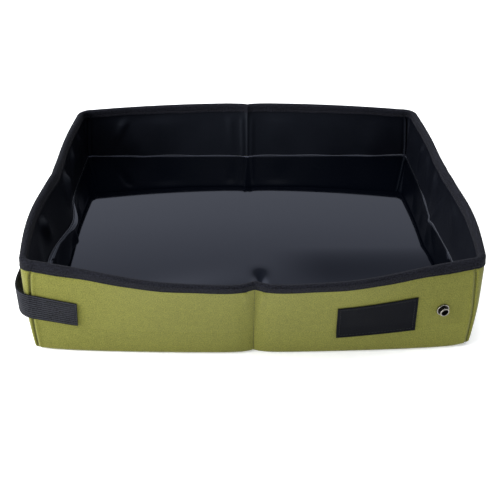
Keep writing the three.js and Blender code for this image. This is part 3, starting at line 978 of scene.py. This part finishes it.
def bind(name, columns, replaced):
    section, faces_out = tape_section()
    inset, height = section[:, 0], section[:, 1]
    dip = 0.2 * hump(height - SEWN_AT, 0.6) * np.sign(WALL / 2 - inset)
    top = np.array([[float(v) for v in column(0.0, RIM)] for column in columns])
    rings, sewn_lines = [], ([], [])
    for column, far in zip(columns, line_lengths(top)):
        wander = 0.3 * math.sin(far / 17.0) + 0.22 * math.sin(far / 7.3 + 1.0)
        z = height + wander * eased((SHOULDER - height) / 4)
        x, y = column(inset + dip, z)
        rings.append(np.stack([x, y, z], axis=-1))
        for line, depth in zip(sewn_lines, (TAPE_OUT + 0.14, TAPE_IN - 0.14)):
            line.append((*map(float, column(depth, SEWN_AT + wander)), SEWN_AT + wander))
    rings = np.array(rings)
    piece = sweep(name, rings, section, TAPE)
    thread = stitches(f"{name}_thread", sewn_lines, DARK_THREAD, 3.4, 2.4, 0.2, 5)
    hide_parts(replaced)
    return piece, thread


for name, side in sides.items():
    for wall, columns_of, _ in walls_of(name, side):
        for part in bind(f"{wall}_tape", columns_of(side, wall_places(80)), f"{wall}_binding"):
            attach(part, f"{wall}_wall")
    for part in bind(f"{name}_side_tape", side_columns(side, side_places(100)), f"{name}_side_binding"):
        sinks(part, name)
print("binding done")

# %% [markdown]
# ## Pads inside
#
# The base halves and the side walls are padded. A pad is crowned: full in the middle, thinner towards its
# sewn edge.

# %% Pads
def pad(solid, face, back):
    """A closed, crowned pad between two grids, which meet at its edges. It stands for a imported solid."""
    rows, columns = face.shape[:2]
    v, u = np.linspace(-1, 1, rows)[:, None], np.linspace(-1, 1, columns)[None, :]
    full = ((1 - np.abs(v) ** 8) * (1 - np.abs(u) ** 14))[..., None] ** 0.5
    middle = (face + back) / 2
    face, back = middle + (face - middle) * full, middle + (back - middle) * full
    index = np.arange(rows * columns).reshape(rows, columns)
    other = index + rows * columns
    other[0], other[-1], other[:, 0], other[:, -1] = index[0], index[-1], index[:, 0], index[:, -1]
    faces = np.concatenate([grid_faces(index), grid_faces(other)[:, [0, 3, 2, 1]]])
    points = np.concatenate([face.reshape(-1, 3), back.reshape(-1, 3)])
    foam = build(f"{solid}_foam", points, faces, laid_flat(face), FOAM)
    stands_for(foam, "foam", solid)
    return foam


def side_column(side, y):
    return lambda inset, z: (side * (side_out(side, y, z) - inset), y + 0 * z)


pad_heights = np.linspace(37, 84, 18)
for name, side in sides.items():
    for end, low, high in (("front", -153, -3), ("back", 3, 153)):
        columns = [side_column(side, y) for y in np.linspace(low, high, 40)]
        face, back = (wall_grid(columns, np.full(18, depth), pad_heights) for depth in (1.2, 3.0))
        foam = pad(f"{name}_side_pad_{end}", face, back)
        sinks(foam, name)
    across, deep = np.meshgrid(side * np.linspace(5, 190, 60), np.linspace(-158, 158, 60))
    top = np.stack([across, deep, FLOOR - 1.6 + swell(across, deep)], axis=-1)
    foam = pad(f"base_pad_{name}", top, top * (1, 1, 0) + (0, 0, 3.6))
    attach(foam, f"base_{name}")
print("pads made")

# %% [markdown]
# ## Boards inside
#
# A thin plastic board stiffens each half of the front and back walls, from just above the hinge to just
# under the rim. It bends with the wall that it stands in. The two boards of the base are flat, so the
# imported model's own are used.

# %% Boards
BOARD_ENDS = (5.0, SEAM_X - 5.0)
BOARD_DEEP, BOARD_THICK = 1.2, 1.9
for name, side in sides.items():
    for wall, columns_of, lie in walls_of(name, side):
        low, high = (corner.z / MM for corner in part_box(f"{wall}_board"))
        heights = np.linspace(low, high, 20)
        grid = wall_grid(columns_of(side, np.linspace(*BOARD_ENDS, 60)), np.full(20, BOARD_DEEP), heights)
        board = cloth(f"{wall}_wall_board", grid, BOARD_THICK, PLASTIC_BOARD, lie)
        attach(board, f"{wall}_wall")
        stands_for(board, "stiffener", f"{wall}_board")
    board_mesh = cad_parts[f"base_board_{name}"].data
    board_mesh.materials.clear()
    board_mesh.materials.append(PLASTIC_BOARD)
print("boards made")

# %% [markdown]
# ## The strap
#
# The webbing is sewn to the front wall with a boxed cross, and rises a little towards the corner. There
# it leaves the wall, goes round in a loose bend, and lies along the left wall. Its path is a smooth curve
# through a few places, and the section is carried along it. On the wall the section leans as the wall
# leans.

# %% Strap
STRAP_WIDE, STRAP_THICK = 25.0, 1.6
STRAP_OFF_WALL = 0.45
RIB_PITCH = 2.3
snap_low, snap_high = (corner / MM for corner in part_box("snap_socket"))
snap_middle = (snap_low + snap_high) / 2
strap_end_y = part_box("strap_free_end")[1].y / MM
STRAP_FACE_X = -(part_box("strap_free_end")[0].x / MM + STRAP_THICK)
SEWN_END_X = -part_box("strap_sewn_end")[1].x / MM


def on_front(x, z):
    return (-x, -float(front_out(x, z)) - STRAP_OFF_WALL, z)


strap_stations = [on_front(SEWN_END_X + far, z) for far, z in ((0, 44.4), (9, 45.2), (19, 46.2), (30, 47.2))]
strap_stations += [
    (-188.5, -167.7, 48.0), (-194.0, -167.0, 48.9), (-198.6, -165.3, 49.7), (-202.2, -162.0, 50.3),
    (-204.8, -157.2, 50.8), (-206.4, -150.5, 51.0), (-STRAP_FACE_X - 0.1, -138.0, 50.8),
    (-STRAP_FACE_X, -110.0, 49.6), (-STRAP_FACE_X, -70.0, 48.0), (-STRAP_FACE_X, strap_end_y, snap_middle.z),
]


def smooth_path(points, steps):
    """A curve through the points, which bends evenly between them (a Catmull-Rom curve)."""
    p = np.array(points, float)
    p = np.vstack([2 * p[0] - p[1], p, 2 * p[-1] - p[-2]])
    out = []
    for a, b, c, d in zip(p, p[1:], p[2:], p[3:]):
        for t in np.linspace(0, 1, steps, endpoint=False):
            curve = 2 * b + (c - a) * t + (2 * a - 5 * b + 4 * c - d) * t**2 + (3 * b - a - 3 * c + d) * t**3
            out.append(0.5 * curve)
    return np.array(out + [p[-2]])


def strap_frames(path):
    """For each place: the way out from the face, in plan, and how much the section leans with the wall."""
    ahead = np.gradient(path[:, :2], axis=0)
    ahead /= np.linalg.norm(ahead, axis=1, keepdims=True)
    return np.stack([-ahead[:, 1], ahead[:, 0]], axis=1), eased((path[:, 0] + 196) / 14)


def strap_point(place, outward, lean, depth, rise):
    x, y, z = place
    x += 0.09 * rise * float(eased((x + 180) / 24))
    tilt = lean * (front_out(-x, z + rise) - front_out(-x, z)) if lean > 0 else 0.0
    return (x + outward[0] * (depth + tilt), y + outward[1] * (depth + tilt), z + rise)


def strap_section():
    half, ease = STRAP_WIDE / 2, 0.45
    rib = np.linspace(-half + ease, half - ease, 45)
    wale = 0.13 * np.cos(rib / RIB_PITCH * 2 * math.pi)
    outside = [(STRAP_THICK + w, r) for r, w in zip(rib, wale)]
    inside = [(-w * 0.5, r) for r, w in zip(rib[::-1], wale[::-1])]
    foot, head = ([(ease, edge), (STRAP_THICK - ease, edge)] for edge in (-half, half))
    return foot + outside + head[::-1] + inside


strap_path = smooth_path(strap_stations, 12)
outwards, leans = strap_frames(strap_path)
section = strap_section()
rings = []
for place, outward, lean in zip(strap_path, outwards, leans):
    rings.append([strap_point(place, outward, lean, depth, rise) for depth, rise in section])
strap = sweep("strap", np.array(rings), np.array(section), WEBBING, 60)
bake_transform(strap)
stands_for(strap, "webbing", "strap_sewn_end", "strap_free_end")

# %% Boxed cross on the strap
BOX_LONG, BOX_HALF = 23.0, 9.8


def strap_line(points):
    """Points given as distance from the sewn end and height across the webbing, laid on its face."""
    reached = line_lengths(strap_path)
    line = []
    for far, rise in points:
        place = [np.interp(far, reached, strap_path[:, k]) for k in range(3)]
        outward = [np.interp(far, reached, outwards[:, k]) for k in range(2)]
        lean = float(np.interp(far, reached, leans))
        line.append(strap_point(place, outward, lean, STRAP_THICK + PROUD, rise))
    return line


def straight(first, last, count=12):
    return [tuple(mix(np.array(first), np.array(last), share)) for share in np.linspace(0, 1, count)]


def box_sides(low, high, count=12):
    """The four sides of a box between two corners, each as a line of points."""
    corners = [low, (high[0], low[1]), high, (low[0], high[1])]
    return [straight(a, b, count) for a, b in zip(corners, corners[1:] + corners[:1])]


low, high = (2.4, -BOX_HALF), (2.4 + BOX_LONG, BOX_HALF)
runs = box_sides(low, high) + [straight(low, high), straight((high[0], low[1]), (low[0], high[1]))]
box_thread = stitches("strap_box_thread", [strap_line(run) for run in runs], DARK_THREAD, 2.6, 1.9)
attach(box_thread, "front_left_wall")
print("boxed cross", BOX_LONG, "mm long")

# %% [markdown]
# ## The patch
#
# A plain dark patch is sewn on the right half of the front wall, a little askew. Its hem makes a slightly
# raised border, with a row of stitches inside it.

# %% Patch
PATCH_LOW = ((72.2, 21.2), (142.2, 25.4))
PATCH_HIGH = ((70.4, 59.4), (140.2, 63.4))
PATCH_LONG, PATCH_TALL = 70.0, 38.0
HEM = 2.6


def patch_point(u, v, lift=0.0):
    low = mix(np.array(PATCH_LOW[0]), np.array(PATCH_LOW[1]), u)
    high = mix(np.array(PATCH_HIGH[0]), np.array(PATCH_HIGH[1]), u)
    x, z = mix(low, high, v)
    edge = min(u * PATCH_LONG, (1 - u) * PATCH_LONG, v * PATCH_TALL, (1 - v) * PATCH_TALL)
    hem = 0.3 * float(eased(1.4 - edge / HEM)) - 0.2 * float(hump(edge - HEM, 0.5))
    flare = 1.2 * max(0.0, (FLOOR - z) / 13)
    return (x, -float(front_out(x, z)) - 1.0 - hem - flare - lift, z)


def with_hem(length, count):
    """Even places along an edge, with a few more where the hem is."""
    close = np.array([0.0, 0.5, 1.2, 1.9, HEM - 0.4, HEM, HEM + 0.4, HEM + 1.0]) / length
    return np.concatenate([close, np.linspace(close[-1], 1 - close[-1], count)[1:-1], 1 - close[::-1]])


grid = np.array([[patch_point(u, v) for u in with_hem(PATCH_LONG, 44)] for v in with_hem(PATCH_TALL, 22)])
patch = cloth("patch_cloth_piece", grid, 0.65, PATCH, -1.0)
edge_u, edge_v = HEM / PATCH_LONG, HEM / PATCH_TALL
runs = box_sides((edge_u, edge_v), (1 - edge_u, 1 - edge_v), 30)
hem_lines = [[patch_point(u, v, 0.05) for u, v in run] for run in runs]
hem_thread = stitches("patch_thread", hem_lines, DARK_THREAD, 2.8, 2.0, 0.2)
for part in (patch, hem_thread):
    bends_at_hinge(part)
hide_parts("patch")
print("patch", [round(1000 * v) for v in patch.dimensions])

# %% [markdown]
# ## The snap
#
# Each part of a snap is pressed from a disc, so each is a turned shape: a list of radii and heights spun
# round an axis. The stud sits on the front wall, tipped a little by the soft cloth, and the socket and
# its cap sit on the strap.

# %% Snap
AROUND = 64


def eased_edge(radius, height, ease, steps=5):
    turns = np.linspace(0, math.pi / 2, steps)
    return [(radius - ease + ease * math.cos(a), height - ease + ease * math.sin(a)) for a in turns]


def snap_part(name, solid, body, profile, place, axis, away=0.0, recessed=()):
    """Radii and heights spun round an axis, then seated on a place and tied to a body."""
    # Recessed rings are marked, so the nickel finish paints them almost black as shade.
    marks = np.repeat([1.0 if k in recessed else 0.0 for k in range(len(profile))], AROUND)
    angles = np.linspace(0, 2 * math.pi, AROUND, endpoint=False)
    points = np.array([(r * math.cos(a), r * math.sin(a), h) for r, h in profile for a in angles])
    piece = tube(name, points, AROUND, np.repeat(profile, AROUND, axis=0), NICKEL, 35, marks)
    facing = Vector(axis).normalized()
    turn = facing.to_track_quat("Z", "Y").to_matrix().to_4x4()
    piece.data.transform(Matrix.Translation((Vector(place) + facing * away) * MM) @ turn)
    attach(piece, body)
    stands_for(piece, "snap_metal", solid)


STUD_X, STUD_Z = 164.6, 45.6
SEATED = 0.3
slope_x = float(front_out(STUD_X + 2, STUD_Z) - front_out(STUD_X - 2, STUD_Z)) / 4
slope_z = float(front_out(STUD_X, STUD_Z + 2) - front_out(STUD_X, STUD_Z - 2)) / 4
stud_place = (STUD_X, -float(front_out(STUD_X, STUD_Z)), STUD_Z)
tipped, inward = (-slope_x + 0.06, -1.0, -slope_z - 0.04), (slope_x, 1.0, slope_z)
stud = [(0.3, 0.0), (5.8, 0.0), (5.8, 0.3)] + eased_edge(5.8, 0.8, 0.4)
stud += [(4.6, 0.75), (3.6, 0.9), (3.35, 1.3), (3.4, 2.3), (3.9, 2.9)] + eased_edge(4.35, 4.4, 0.65, 7)
stud += [(3.45, 4.4), (3.05, 4.1), (2.9, 3.6), (2.9, 1.2), (2.4, 0.9), (0.3, 0.8)]
# The rings of the stud's hollow, which get painted shade.
stud_recess = [*range(8, 12), *range(21, 26)]
washer = [(0.3, 0.0), (6.0, 0.0), (6.0, 0.3), (5.2, 0.7), (1.8, 0.7), (0.3, 0.5)]
wall = "front_right_wall"
snap_part("stud_ring", "snap_stud", wall, stud, stud_place, tipped, 0.45, stud_recess)
snap_part("stud_washer_ring", "snap_stud_washer", wall, washer, stud_place, inward, WALL + TOUCH)

socket = [(0.3, 0.0), (6.3, 0.0), (6.3, 2.4)] + eased_edge(6.3, 3.2, 0.6)
socket += [(5.0, 3.2), (4.6, 2.9), (4.6, 0.8), (0.3, 0.8)]
cap = [(0.3, 0.0), (6.3, 0.0), (6.3, 0.4)] + eased_edge(6.2, 1.0, 0.5)[1:]
cap += [(4.0, 1.15), (2.0, 1.22), (0.3, 1.25)]
inner = (-STRAP_FACE_X + SEATED, snap_middle.y, snap_middle.z)
outer = (-STRAP_FACE_X - STRAP_THICK - SEATED, snap_middle.y, snap_middle.z)
snap_part("socket_ring", "snap_socket", "strap_end", socket, inner, (1, 0, 0))
snap_part("cap_dome", "snap_cap", "strap_end", cap, outer, (-1, 0, 0))
print("snap made, stud at", [round(v) for v in stud_place])

# %% [markdown]
# ## The room
#
# The photograph has a plain white ground and very soft light, from above and from the left. The sky is
# brightest near the horizon and on the left, which is what the floor film mirrors. The ground glows a
# little, so that the shade beside the tray stays pale.

# %% Ground and light
GROUND, BELOW = 8, -0.0002
ground_corners = [(-GROUND, -GROUND, BELOW), (GROUND, -GROUND, BELOW), (GROUND, GROUND, BELOW)]
ground_corners.append((-GROUND, GROUND, BELOW))
ground_mesh = bpy.data.meshes.new("ground")
ground_mesh.from_pydata(ground_corners, [], [(0, 1, 2, 3)])
ground = bpy.data.objects.new("ground", ground_mesh)
bpy.context.collection.objects.link(ground)
paper = Finish("white_paper", Roughness=0.9, Base_Color=(0.95, 0.95, 0.95, 1), Specular_IOR_Level=0.1)
paper.set(Emission_Color=(1.0, 1.0, 1.0, 1), Emission_Strength=0.3)
ground_mesh.materials.append(paper.material)

world = bpy.data.worlds.new("studio")
bpy.context.scene.world = world
world.use_nodes = True


class Sky(Finish):
    """The room all round, as a background whose strength varies."""

    def __init__(self, tree):
        self.tree = tree
        self.shader = tree.nodes["Background"]


sky = Sky(world.node_tree)
to_the_right, _, height_up = sky.parts(sky.node("ShaderNodeTexCoord"))
dimmer = ((height_up - 0.5) / 0.16).held()
sky.set(Color=(0.86, 0.9, 1.0, 1), Strength=(1.0 - dimmer * 0.62) * (1.0 - to_the_right * 0.38))


def soft_light(name, place, size, power):
    data = bpy.data.lights.new(name, "AREA")
    data.shape = "DISK"
    data.size = size
    data.energy = power
    light = bpy.data.objects.new(name, data)
    light.location = place
    light.rotation_mode = "QUATERNION"
    light.rotation_quaternion = Vector(place).to_track_quat("Z", "Y")
    bpy.context.collection.objects.link(light)


soft_light("key_left", (-2.4, -0.65, 1.3), 1.8, 118.0)
soft_light("overhead", (-0.1, 0.2, 3.2), 2.4, 86.0)
bpy.context.scene.view_settings.view_transform = "Standard"
print("lit")
